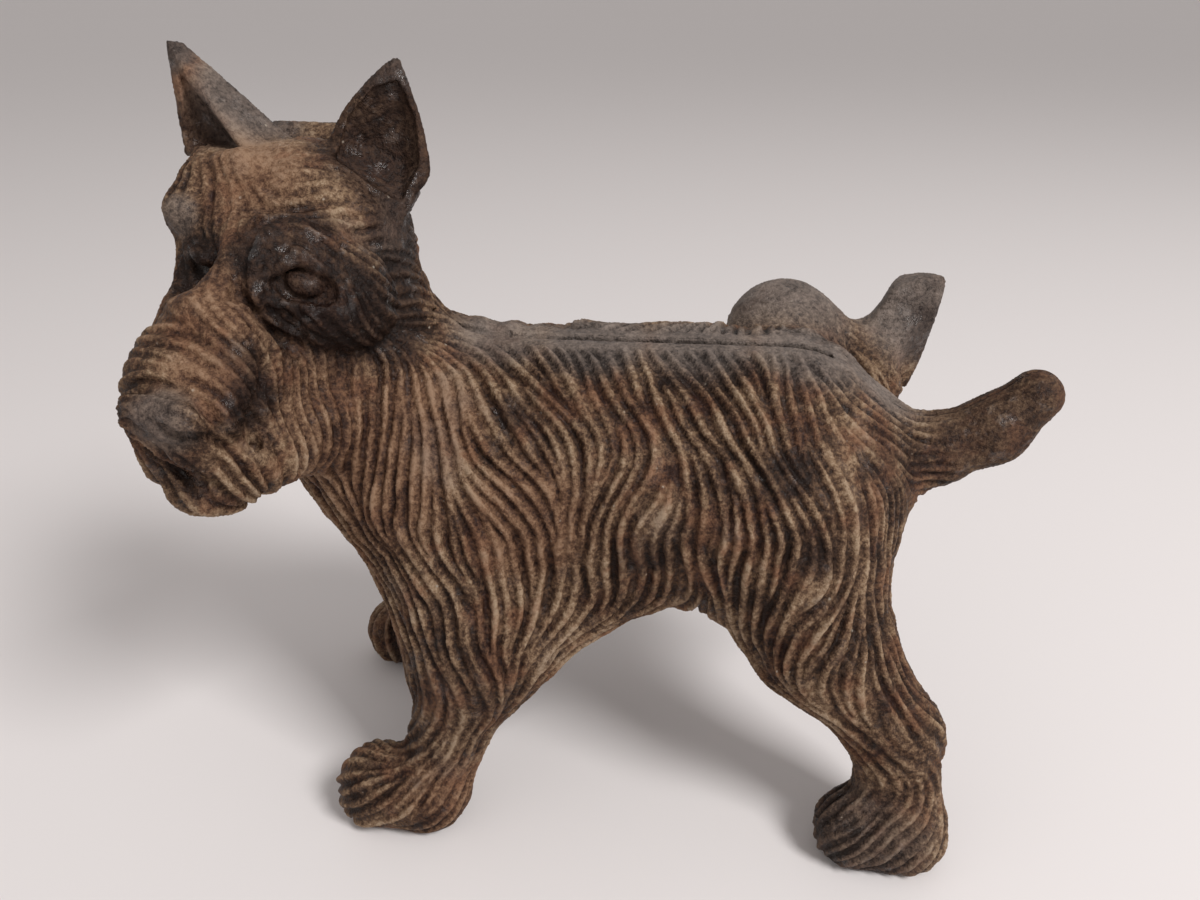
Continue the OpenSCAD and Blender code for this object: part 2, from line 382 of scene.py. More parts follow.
def scoop(rim, bottom, pull):
    """What a hollow takes out: from its rim, drawn out past the surface along pull, down to its bottom."""
    rim, pull = np.array(rim, float), np.array(pull, float)
    return faceted(np.concatenate([rim + pull, rim - 0.1 * pull, np.array(bottom, float)]), 0.3)


def ears(clay):
    """Two pricked ears, hollow in front."""
    right_ear = [(-75.6, -4.6, 119.4), (-74.6, -5.8, 118.2), (-75.4, -5.2, 103), (-62.4, -10.4, 103.5),
                 (-60.2, -2.4, 106), (-60.5, -1.2, 104), (-73.5, -0.9, 103), (-74.2, -2.4, 118.8)]
    right_rim = [(-73.5, -5.8, 114.6), (-74.0, -5.9, 104.6), (-64.6, -8.7, 104.4), (-69.2, -7.2, 110.2)]
    right_bottom = [(-72.6, -3.4, 105.5), (-68.4, -3.6, 105.0), (-72.8, -4.4, 111.0)]
    clay.add(faceted(right_ear, 0.6), 1)
    clay.carve(scoop(right_rim, right_bottom, (1.1, -2.2, 0.2)), 0.3)
    left_ear = [(-44.3, -5.4, 116.2), (-42.5, -5.0, 116.8), (-43.0, -2.4, 116.2), (-51.4, -5.0, 109.8),
                (-55.2, -5.8, 102.6), (-51.0, -9.6, 100.5), (-47.4, -11.2, 97.0), (-43.4, -8.6, 93.8),
                (-38.8, -4.2, 101.5), (-39.4, -3.6, 106.5), (-49.5, -0.9, 103), (-42.5, -0.9, 97),
                (-42.9, -1.4, 112)]
    left_rim = [(-42.8, -4.4, 113.6), (-40.9, -3.9, 108.3), (-40.6, -4.8, 102.3), (-43.0, -7.2, 97.4),
                (-48.0, -7.4, 100.4), (-52.0, -7.4, 103.4), (-50.2, -5.3, 108.8), (-46.2, -5.5, 112.8)]
    left_bottom = [(-48.6, -2.9, 104.4), (-43.4, -2.6, 108.6), (-43.2, -2.8, 102.0)]
    clay.add(faceted(left_ear, 0.6), 1)
    clay.carve(scoop(left_rim, left_bottom, (0.8, -2.4, 0.3)), 0.3)
    # The fur of the forehead laps over the roots of both ears.
    clay.add(limb((-70.8, -11.0, 101.6), (-63.0, -13.0, 103.2), 1.6, 2.2), 2)
    clay.add(limb((-55.0, -12.5, 101.0), (-46.5, -12.0, 96.5), 2.4, 2.0), 2)


def far_edge(clay):
    """The far casting was filed less: its edge stands a little above the near one on the head and back."""
    clay.add(limb((-64, 3.2, 104.4), (-51, 3.2, 104.2), 2.8, 2.8), 2)
    clay.add(limb((-18, 6, 63.8), (14, 6, 63.8), 12.6, 12.6), 2)
    for step in range(4):
        clay.add(limb((-40 + 5 * step, 3, 75.6 - step / 2), (-39 + 5 * step, 12, 72), 2.6, 2.2), 2)


def cavity(step):
    """The coin chamber, as the castings' CAD form has it."""
    room = Clay((-86, -28, 24), (42, 28, 112), step)
    inner = 21.5 - WALL
    room.add(limb((-42, 0, 55.5), (12, 0, 54.5), inner - 0.5, inner))
    room.add(limb((-44, 0, 62.5), (-58, -3.5, 84), 13.8, 11.1))
    room.add(limb((-58, -4.5, 89), (-61, -4.5, 89), 10.8, 10.8))
    return room


def cross_bar(radius, start, end):
    """A round bar across the body on the screw's axis."""
    def distance(x, y, z):
        across = np.sqrt((x - SCREW_X)**2 + (z - SCREW_Z)**2) - radius
        return np.maximum(across, np.maximum(start - y, y - end))
    return (distance, np.array([SCREW_X - radius, start, SCREW_Z - radius]),
            np.array([SCREW_X + radius, end, SCREW_Z + radius]))


def block(low, high):
    low, high = np.array(low, float), np.array(high, float)

    def distance(x, y, z):
        past_x = np.maximum(low[0] - x, x - high[0])
        past_y = np.maximum(low[1] - y, y - high[1])
        past_z = np.maximum(low[2] - z, z - high[2])
        return np.maximum(np.maximum(past_x, past_y), past_z)
    return distance, low, high


def half(form, side):
    """One hollow casting out of the whole form: side -1 is the near one, 1 the far one."""
    clay = form.slab(-99, 2) if side < 0 else form.slab(-2, 99)
    x, y, z = np.meshgrid(*clay.axes, indexing="ij", sparse=True)
    room = cavity(clay.step)
    cuts, grid = clay.window(room.low, room.low + clay.step * (np.array(room.count) - 1), 0)
    q = np.stack(np.broadcast_arrays(*grid), -1).reshape(-1, 3)
    hollow = room.sample(q).reshape(clay.field[cuts].shape)
    clay.field[cuts] = np.maximum(clay.field[cuts], -hollow)
    if side < 0:
        clay.add(cross_bar(BOSS_R, BOSS_START, BOSS_END), 0.6)
        clay.carve(cross_bar(TAPPED_R, TAPPED_START, 0), 0.2)
    else:
        clay.add(cross_bar(SEAT_R, SEAT_START, SEAT_END), 0.6)
        clay.carve(cross_bar(HOLE_R, 0, HOLE_END), 0.2)
        clay.carve(cross_bar(HEAD_HOLE_R, SEAT_END, 40), 0.3)
    clay.carve(block(SLOT_LOW, SLOT_HIGH), 0.2)
    # The joint opens along the back where both castings' edges are worn round.
    clay.carve(limb((-38, 0, 77.0), (-30, 0, 76.4), 0.8, 0.8), 0.4)
    clay.carve(limb((-30, 0, 76.4), (14, 0, 76.4), 0.8, 0.8), 0.4)
    clay.field = np.maximum(clay.field, side * -y + SEAM_GAP)
    clay.field = np.maximum(clay.field, -z)
    return clay


# ---------------------------------------------------------------- combing the coat

# How far the hair leans from straight down toward the tail, in degrees: one row for each height above the
# ground in millimetres, one column every 8 mm along the body from the chest to the rump.
LEAN_X = np.arange(-54, 27, 8)
LEAN = {
    74: (20, 15, 18, 28, 32, 32, 26, 18, 13, 6, 4),
    68: (15, 12, 20, 42, 42, 35, 30, 28, 16, 8, 4),
    62: (5, 10, 5, 35, 40, 8, -25, 5, 12, 2, 0),
    56: (25, 10, -10, 12, 20, -10, -22, -10, -4, 2, -6),
    50: (38, 42, 10, 5, 0, 0, -3, 0, -8, -18, -6),
    44: (45, 30, 28, -5, -15, 12, 0, 0, -8, -35, -10),
    38: (40, 25, 12, 2, -30, -52, -60, -20, 15, -25, -10),
    32: (0, 20, 25, 20, -30, -60, -60, 10, 38, 20, 22),
    26: (-10, 15, 15, 30, -35, -45, -30, 30, 48, 50, 40),
    20: (-20, -25, -38, -22, -42, -30, 0, 20, 30, 42, 44),
    12: (-25, -30, -35, -42, -40, -20, 0, 20, 35, 45, 25),
}

# Strokes of the modelling tool, each from the root of the hair to its tip, and how far each one's pull goes.
# They are given for the near side; the far side is combed as its mirror image.
STROKES = [
    # forehead and crown
    ((-66.5, -13, 103.5), (-62, -21, 94), 4),
    ((-72, -11, 101), (-70, -18, 95), 3),
    ((-60, -9, 105.5), (-60, -18, 98), 4),
    ((-58, -18, 99), (-50.5, -15.5, 100.5), 3),
    ((-53, -14, 101.5), (-45, -10, 102), 4),
    # side of the head and round the eye
    ((-49, -15, 96), (-42.5, -7, 97), 4),
    ((-47, -14, 89), (-41.5, -5, 89), 4),
    ((-46, -14, 83), (-42, -6, 82), 4),
    ((-59, -23, 93), (-55, -21, 96.5), 3),
    ((-59, -24, 90), (-54, -24, 85), 3),
    ((-54, -24, 85), (-46, -16, 79.5), 3),
    ((-55, -21, 96), (-47, -17, 93), 3),
    # bridge and muzzle
    ((-62, -27, 91), (-63, -31, 86), 3),
    ((-63, -34, 85.5), (-57.5, -30, 81.5), 3),
    ((-72, -32, 79), (-67, -33, 85), 3),
    ((-67, -34, 85.5), (-62, -36, 85), 2.5),
    ((-71, -37, 76), (-67, -38, 81), 3),
    ((-67, -38, 81.5), (-61, -38, 81), 2.5),
    ((-62, -38.5, 79), (-57.5, -33.5, 75.5), 3),
    ((-69, -42, 78), (-62, -42, 78.5), 3),
    ((-70, -38, 72), (-70, -36, 66), 3),
    ((-62.5, -40, 73.5), (-58.5, -33, 64), 3),
    ((-66, -37.5, 66), (-61, -36, 62.5), 3),
    # cheek and jaw
    ((-54.5, -26, 84), (-55, -26, 71), 4),
    ((-50.5, -20, 81), (-51.5, -20, 66), 4),
    ((-46, -16, 78), (-48, -18, 66), 4),
    ((-55, -25, 68), (-60, -25, 61), 4),
    # paws
    ((-37, -24, 14), (-42, -26, 8), 4),
    ((-35, -26, 7), (-47, -27, 3.5), 4),
    ((-43, -24, 10), (-55, -22, 7), 4),
    ((-50, -26, 8), (-57, -21, 3), 3),
    ((38, -21, 18), (40.5, -22, 9), 4),
    ((38.5, -26, 8), (31, -27, 3), 4),
    ((33, -25, 11), (25, -24, 7), 4),
    ((27, -26, 6), (22, -21, 3), 3),
    # tail
    ((26, -9, 63), (36, -6, 61), 5),
    ((36, -5, 61), (45, -5, 64), 5),
    ((45, -5, 64), (51, -3, 71), 5),
    # raised hind leg, which only the far half has
    ((6, -24, 76), (20, -27, 73), 6),
    ((20, -27, 72), (34, -29, 66), 6),
    ((36, -31, 62), (39, -31, 79), 5),
]
COMB_STEP = 2.0


def unit(v):
    return v / np.maximum(np.linalg.norm(v, axis=-1, keepdims=True), 1e-6)


def comb_volume(low, high):
    """The comb on a coarse grid over the near side: how much the hair runs down the surface, how much along
    it, and the pull of the strokes."""
    axes = [np.arange(l, h, COMB_STEP) for l, h in zip(low, high)]
    x, y, z = np.meshgrid(*axes, indexing="ij")
    heights = sorted(LEAN)
    chart = np.array([LEAN[h] for h in heights], float)
    row = np.interp(z, heights, np.arange(len(heights)))
    column = np.interp(x, LEAN_X, np.arange(len(LEAN_X)))
    r, c = np.minimum(row.astype(int), len(heights) - 2), np.minimum(column.astype(int), len(LEAN_X) - 2)
    fr, fc = row - r, column - c
    lean = ((chart[r, c] * (1 - fc) + chart[r, c + 1] * fc) * (1 - fr)
            + (chart[r + 1, c] * (1 - fc) + chart[r + 1, c + 1] * fc) * fr)
    lean = np.radians(lean)
    flow = np.stack([np.cos(lean), np.sin(lean), 0 * x, 0 * x, 0 * x], -1)
    for root, tip, reach in STROKES:
        root, tip = np.array(root, float), np.array(tip, float)
        run = tip - root
        t = ((x - root[0]) * run[0] + (y - root[1]) * run[1] + (z - root[2]) * run[2]) / (run @ run)
        t = np.clip(t, 0, 1)
        gap = (x - root[0] - t * run[0])**2 + (y - root[1] - t * run[1])**2 + (z - root[2] - t * run[2])**2
        flow[..., 2:] += (5 * np.exp(-gap / (1.2 * reach**2)))[..., None] * unit(run)
    return flow.astype(np.float32), np.array([a[0] for a in axes])


def band_noise(low, high, step, waves, seed):
    """Random volumes of one wavelength each (in mm), with spread 1, as the channels of one array."""
    shape = [int((h - l) / step) + 2 for l, h in zip(low, high)]
    random = np.random.default_rng(seed)
    white = random.standard_normal(shape).astype(np.float32)
    spectrum = np.fft.rfftn(white)
    fx, fy, fz = np.meshgrid(np.fft.fftfreq(shape[0], step), np.fft.fftfreq(shape[1], step),
                             np.fft.rfftfreq(shape[2], step), indexing="ij", sparse=True)
    frequency = np.sqrt(fx**2 + fy**2 + fz**2)
    out = []
    for wave in waves:
        band = np.exp(-((frequency * wave - 1) / 0.22)**2)
        volume = np.fft.irfftn(spectrum * band, s=shape)
        out.append((volume / volume.std()).astype(np.float32))
    return np.stack(out, -1)


class Coat:
    """The hair over the form, kept as values at each point of its skin: strands, locks and unevenness, from
    0 in a groove to 1 on a crest. Strands grow out of random values that are filtered over and over, across
    the hair to one spacing and along it into long lines, until they part and join as combed hair does."""

    GRID = 0.5
    ACROSS = np.arange(-6, 7)
    REACH, PACE = 9, 0.75
    ROUNDS = 4

    def __init__(self, form):
        self.low, self.step = form.low, form.step
        high = form.low + form.step * (np.array(form.count) - 1)
        every = max(int(round(1.2 / form.step)), 1)
        self.skin_step = form.step * every
        slope = np.stack(np.gradient(form.field[::every, ::every, ::every], self.skin_step), -1)
        self.slope = unit(slope).astype(np.float32)
        self.comb, self.comb_low = comb_volume(self.low, (high[0], 2, high[2]))
        self.drift = band_noise(self.low, high, 3.0, (26.0, 14.0), 5)
        self.skin, _, self.number = surface(form.field, form.low, form.step)
        self.shape = [int((h - l) / self.GRID) + 3 for l, h in zip(self.low, high)]
        self.weight = self.spread(np.ones(len(self.skin)))
        self.paths = self.lay_paths()
        self.spacing = 1.62 - 0.32 * near(self.skin, FINE)
        self.strands = self.grow(self.spacing, 11)
        self.locks = self.drag(band_noise(self.low, high, 1.0, (8.0,), 23), 1.0)
        self.uneven = self.drag(band_noise(self.low, high, 0.8, (3.4,), 31), 0.8)

    def normals(self, p):
        return unit(trilinear(self.slope, (p - self.low) / self.skin_step))

    def direction(self, p, normal):
        mirrored = p.copy()
        mirrored[:, 1] = -np.abs(p[:, 1])
        comb = trilinear(self.comb, (mirrored - self.comb_low) / COMB_STEP)
        flip = np.where(p[:, 1] > 0, -1, 1)
        along = unit(np.stack([-normal[:, 1] * flip, normal[:, 0] * flip, 0 * flip], -1))
        down = np.cross(along, normal) * flip[:, None]
        pull = comb[:, 2:] * np.stack([flip**2, flip, flip**2], -1)
        hair = comb[:, :1] * down + comb[:, 1:2] * along + pull
        hair -= normal * (hair * normal).sum(1, keepdims=True)
        hair = unit(hair)
        drift = trilinear(self.drift, (p - self.low) / 3.0)
        phase = 2 * np.pi * (p[:, 2] + 0.4 * p[:, 0] + 3.0 * drift[:, 1]) / 15
        swing = 0.17 * np.sin(phase) + 0.10 * drift[:, 0]
        return hair * np.cos(swing)[:, None] + np.cross(normal, hair) * np.sin(swing)[:, None]

    def lay_paths(self):
        """Places on the skin ahead of and behind each point along its hair, and the side direction there."""
        normal = self.normals(self.skin)
        ahead = self.direction(self.skin, normal)
        self.side = np.cross(normal, ahead).astype(np.float32)
        paths = []
        for way in (self.PACE, -self.PACE):
            p = self.skin
            step = ahead
            for turn in range(self.REACH):
                p = p + way * step
                normal = self.normals(p)
                step = self.direction(p, normal)
                paths.append((turn + 1, p.astype(np.float32)))
        return paths

    def spread(self, values):
        """Values of the skin's points shared out onto a grid."""
        q = (self.skin - self.low) / self.GRID
        i = q.astype(np.int64)
        f = q - i
        places, shares = [], []
        for corner in np.ndindex(2, 2, 2):
            c = np.array(corner)
            shares.append(np.where(c, f, 1 - f).prod(1) * values)
            places.append(np.ravel_multi_index((i + c).T, self.shape))
        total = np.bincount(np.concatenate(places), np.concatenate(shares), int(np.prod(self.shape)))
        return total.reshape(self.shape).astype(np.float32)

    def look_up(self, grid, p):
        found = trilinear(grid, (p - self.low) / self.GRID)
        return found[:, 0] / (found[:, 1] + 0.02)

    def grow(self, spacing, seed):
        value = np.random.default_rng(seed).standard_normal(len(self.skin))
        for turn in range(self.ROUNDS):
            grid = np.stack([self.spread(value), self.weight], -1)
            value = np.zeros(len(self.skin))
            for k in self.ACROSS:
                away = k / 5.0
                bell = math.exp(-away**2 / 0.55)
                place = self.skin + (away * spacing)[:, None] * self.side
                value += (math.cos(2 * math.pi * away) - 0.02) * bell * self.look_up(grid, place)
            grid[..., 0] = self.spread(value)
            for turns, place in self.paths:
                value = value + math.exp(-(turns * self.PACE / 5.0)**2) * self.look_up(grid, place)
            value = np.tanh(1.3 * value / value.std())
        return 0.5 + 0.5 * value / np.abs(value).max()

    def drag(self, noise, grid_step):
        """Noise averaged along the hair: 0 on its lines of no height, 1 on the highest locks."""
        total = trilinear(noise, (self.skin - self.low) / grid_step)[:, 0]
        for turns, place in self.paths:
            total = total + trilinear(noise, (place - self.low) / grid_step)[:, 0]
        return np.clip(np.abs(total) / (1.6 * total.std()), 0, 1)**0.8

    def at(self, points):
        """Strands, locks and unevenness at points of a casting, and whether each is on the form's skin."""
        cell = np.floor((points - self.low) / self.step + 1e-6).astype(int)
        found = self.number[tuple(cell.T)]
        return self.strands[found], self.locks[found], self.uneven[found], found >= 0


def near(points, places):
    """How much each point belongs to a few round places, from 0 to 1."""
    weight = np.zeros(len(points))
    for centre, reach, *amount in places:
        gap = ((points - np.array(centre, float))**2).sum(1)
        weight = np.maximum(weight, (amount or [1])[0] * np.exp(-(gap / reach**2)**3))
    return weight


def ramp(value, low, high):
    t = np.clip((value - low) / (high - low), 0, 1)
    return t * t * (3 - 2 * t)


# Round places on the figure: centre and reach in millimetres, and an amount where that isn't 1.
# SMOOTH places have no hair, FINE ones have closer and lower strands, and FACE is lower still.
SMOOTH = [
    ((-70.5, -5, 113), 9), ((-66, -4, 109), 7), ((-46, -5, 109), 10), ((-46.5, -8, 101), 8),
    ((-40, -5, 104), 6), ((-43, -9, 96), 5), ((50, 0, 69), 9), ((43, -2, 63), 8), ((14, 26, 74), 14),
    ((36, 29, 72), 12), ((-60, -10, 105), 7), ((-57, 4, 107), 9), ((-70.5, -17, 97), 3.6, 0.8),
    ((-64.5, -43, 77), 5, 0.8), ((-51.5, -24, 90), 3.6, 0.9), ((-56, -24, 94), 4, 0.6),
]
FINE = [
    ((24, -12, 58), 17), ((-60, -20, 88), 26), ((-41, -20, 14), 20), ((32, -20, 14), 22),
    ((-58, 6, 95), 14),
]
FACE = [((-60, -24, 88), 21)]

# Places with a patina of their own, and a few places of painted shade, in the same form.
PATINA_AND_SHADE = {
    "grey": [
        ((-66, -2, 110.5), 8), ((-75, -5, 118), 4), ((-44, -6, 115), 4, 0.7), ((-30, 0, 76), 9, 0.8),
        ((-16, 0, 76), 10), ((0, 0, 76), 10), ((16, 0, 75), 10), ((28, 2, 72), 9),
        ((14, 26, 76), 13), ((36, 29, 74), 10), ((-64, -42.5, 77.3), 4.4, 0.85),
        ((-44, -8, 93), 6, 0.6), ((29, -24, 5), 10, 0.5), ((-50, 21, 6), 10, 0.6),
        ((-71, -18, 97), 3.2, 0.7),
    ],
    # Dark patina patches; a few of these places are painted shade, as marked below.
    "dark": [
        ((-53.3, -23.0, 90), 7.8), ((-52.5, -20.5, 94.5), 5), ((-48.5, -18.5, 85.5), 8.6),
        # The last place on this line is painted shade in the right eye's socket.
        ((-43.5, -12, 84), 8), ((-43.5, -9, 92), 7, 0.8), ((-67, -22, 91.5), 5, 0.6),
        # Painted shade: these three places darken the crease beside the muzzle and the mouth.
        ((-56.5, -34, 77), 5), ((-58, -33, 82), 3.5, 0.8), ((-64, -41, 69), 4.5, 0.45),
        ((-64, -42.5, 77.3), 4.4, 0.3), ((-64, -2, 110), 7, 0.3), ((-75, -5, 118), 4, 0.6),
        ((-43, -5, 110), 7), ((-43.5, -9, 97), 6, 0.8), ((-27, -17, 71), 3.5, 0.7),
        ((12, -20, 63), 4, 0.5), ((30, -12, 62), 8, 0.3), ((17, -21, 52), 4, 0.8),
        ((-7, -21.5, 50), 4, 0.6), ((-45, -18, 52), 5, 0.4), ((-46, 22, 5), 14, 0.4),
        ((-46, -4, 104), 9.5), ((-71.5, -3.5, 107), 5, 0.8), ((-56, -25, 94), 5), ((-43, -5, 97), 7),
        ((39, 30, 70), 6, 0.7), ((45, -3, 65), 12, 0.55), ((28, -26, 5), 10, 0.4),
        ((-38, -20, 24), 12, 0.35),
    ],
    "rust": [
        ((-61, -14, 103), 8), ((-62, -30, 87), 7), ((-60, -37, 82), 5), ((-38, -24, 8), 8),
        ((-46, -20, 60), 12), ((-24, -21, 55), 10), ((-52, -22, 72), 8, 0.7), ((-39, -17, 68), 9),
        ((-71, -3.5, 107), 5, 0.7),
    ],
}
# Heights of the hair's strands, its locks and the casting's sand grain, in millimetres.
STRAND_H, LOCK_H, SAND_H = 1.0, 0.55, 0.035


def comb_hair(points, coat, side):
    """Where each outer point of a casting goes once the coat is cut, and its relief from 0 to 1."""
    strand, lock, uneven, outer = coat.at(points)
    outer &= points[:, 2] > 0.02
    p, strand, lock, uneven = points[outer], strand[outer], lock[outer], uneven[outer]
    crest = (1 - (1 - strand)**1.4) * (0.55 + 0.45 * uneven)
    bare = near(p, SMOOTH)
    # The back is smooth in a band along the joint, and hair never stands up at the joint or the soles.
    band = (1 - ramp(np.abs(p[:, 1]), 2.5, 5.0)) * ramp(p[:, 2], 66, 70) * ramp(p[:, 0], -44, -34)
    bare = np.maximum(bare, band * (1 - ramp(p[:, 0], 40, 44)))
    edge = ramp(p[:, 2], 0.2, 1.8) * ramp(np.abs(p[:, 1]), 0.1, 1.6)
    face = near(p, FACE)
    small = (1 - 0.30 * near(p, FINE)) * (1 - 0.12 * face)
    sand = np.random.default_rng(7).standard_normal(len(p))
    lift = STRAND_H * (crest - 0.6) + LOCK_H * (lock - 0.6)
    lift = (1 - 0.92 * bare) * small * lift + SAND_H * sand
    out = points.copy()
    out[outer] += coat.normals(p) * (edge * lift)[:, None]
    relief = np.full(len(points), 0.45, np.float32)
    bright = 0.07 + 0.57 * strand**1.2 * (0.45 + 0.55 * uneven) + 0.32 * lock
    bright = bright * (1 - 0.2 * face) + 0.11 * face
    relief[outer] = np.clip(bright, 0, 1) * (1 - bare) + 0.65 * bare
    out[:, 1] = side * np.maximum(side * out[:, 1], SEAM_GAP)
    out[:, 2] = np.maximum(out[:, 2], 0)
    return out, relief


# ---------------------------------------------------------------- meshes

def mesh_piece(name, points, quads, marks):
    mesh = bpy.data.meshes.new(name)
    mesh.vertices.add(len(points))
    mesh.vertices.foreach_set("co", ((points + ORIGIN) * MM).astype(np.float32).ravel())
    mesh.loops.add(quads.size)
    mesh.loops.foreach_set("vertex_index", quads.astype(np.int32).ravel())
    mesh.polygons.add(len(quads))
    mesh.polygons.foreach_set("loop_start", np.arange(0, quads.size, 4, dtype=np.int32))
    mesh.polygons.foreach_set("use_smooth", np.ones(len(quads), bool))
    mesh.update()
    mesh.validate()
    for kind, values in marks.items():
        mesh.attributes.new(kind, "FLOAT", "POINT").data.foreach_set("value", values.astype(np.float32))
    piece = bpy.data.objects.new(name, mesh)
    bpy.context.collection.objects.link(piece)
    return piece


form = Clay((-84, -46, -3), (60, 42, 124), STEP)
for shape in (trunk, forelegs, near_hind_leg, raised_hind_leg, tail, head_form, brows, eye_pouch, right_eye,
              muzzle_edge, left_eye, muzzle_side, nose_and_lips, mouth_and_chin, ears, far_edge):
    shape(form)
coat = Coat(form)
pieces = {}
for name, side, body in (("near_casting", -1, "near_half"), ("far_casting", 1, "far_half")):
    clay = half(form, side)
    points, quads, _ = surface(clay.field, clay.low, clay.step)
    marks = {kind: near(points, places) for kind, places in PATINA_AND_SHADE.items()}
    points, marks["relief"] = comb_hair(points, coat, side)
    pieces[name] = mesh_piece(name, points, quads, marks)
    print(name, len(points), len(quads))
    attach(pieces[name], body)
    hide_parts(body)

# ---------------------------------------------------------------- materials

class Look:
    """A small helper that makes and joins the nodes of one material."""

    def __init__(self, name):
        self.material = bpy.data.materials.new(name)
        self.material.use_nodes = True
        self.tree = self.material.node_tree
        self.shader = self.tree.nodes["Principled BSDF"]
        self.place = self.tree.nodes.new("ShaderNodeTexCoord").outputs["Object"]

    def join(self, value, socket):
        if isinstance(value, bpy.types.NodeSocket):
            self.tree.links.new(value, socket)
        else:
            socket.default_value = value

    def attribute(self, name):
        node = self.tree.nodes.new("ShaderNodeAttribute")
        node.attribute_name = name
        return node.outputs["Fac"]

    def noise(self, size, detail=4, roughness=0.55, distortion=0.0):
        """Cloudy noise, size millimetres across."""
        node = self.tree.nodes.new("ShaderNodeTexNoise")
        self.join(self.place, node.inputs["Vector"])
        self.join(1000 / size, node.inputs["Scale"])
        self.join(detail, node.inputs["Detail"])
        self.join(roughness, node.inputs["Roughness"])
        self.join(distortion, node.inputs["Distortion"])
        return node.outputs["Fac"]

    def specks(self, size):
        """Distance to scattered points, size millimetres apart."""
        node = self.tree.nodes.new("ShaderNodeTexVoronoi")
        self.join(self.place, node.inputs["Vector"])
        self.join(1000 / size, node.inputs["Scale"])
        return node.outputs["Distance"]

    def span(self, value, low, high, out_low=0.0, out_high=1.0):
        node = self.tree.nodes.new("ShaderNodeMapRange")
        for socket, given in zip(node.inputs, (value, low, high, out_low, out_high)):
            self.join(given, socket)
        return node.outputs["Result"]

    def math(self, operation, a, b, clamp=False):
        node = self.tree.nodes.new("ShaderNodeMath")
        node.operation = operation
        node.use_clamp = clamp
        self.join(a, node.inputs[0])
        self.join(b, node.inputs[1])
        return node.outputs[0]

    def mix(self, factor, a, b):
        node = self.tree.nodes.new("ShaderNodeMix")
        node.data_type = "RGBA"
        self.join(factor, node.inputs["Factor"])
        self.join(a, node.inputs["A"])
        self.join(b, node.inputs["B"])
        return node.outputs["Result"]

    def ramp(self, value, stops):
        node = self.tree.nodes.new("ShaderNodeValToRGB")
        self.join(value, node.inputs["Fac"])
        elements = node.color_ramp.elements
        while len(elements) < len(stops):
            elements.new(0.5)
        for element, (place, colour) in zip(elements, stops):
            element.position = place
            element.color = colour
        return node.outputs["Color"]

    def bump(self, height, strength, distance, under=None):
        node = self.tree.nodes.new("ShaderNodeBump")
        self.join(height, node.inputs["Height"])
        self.join(strength, node.inputs["Strength"])
        self.join(distance * MM, node.inputs["Distance"])
        if under:
            self.join(under, node.inputs["Normal"])
        return node.outputs["Normal"]


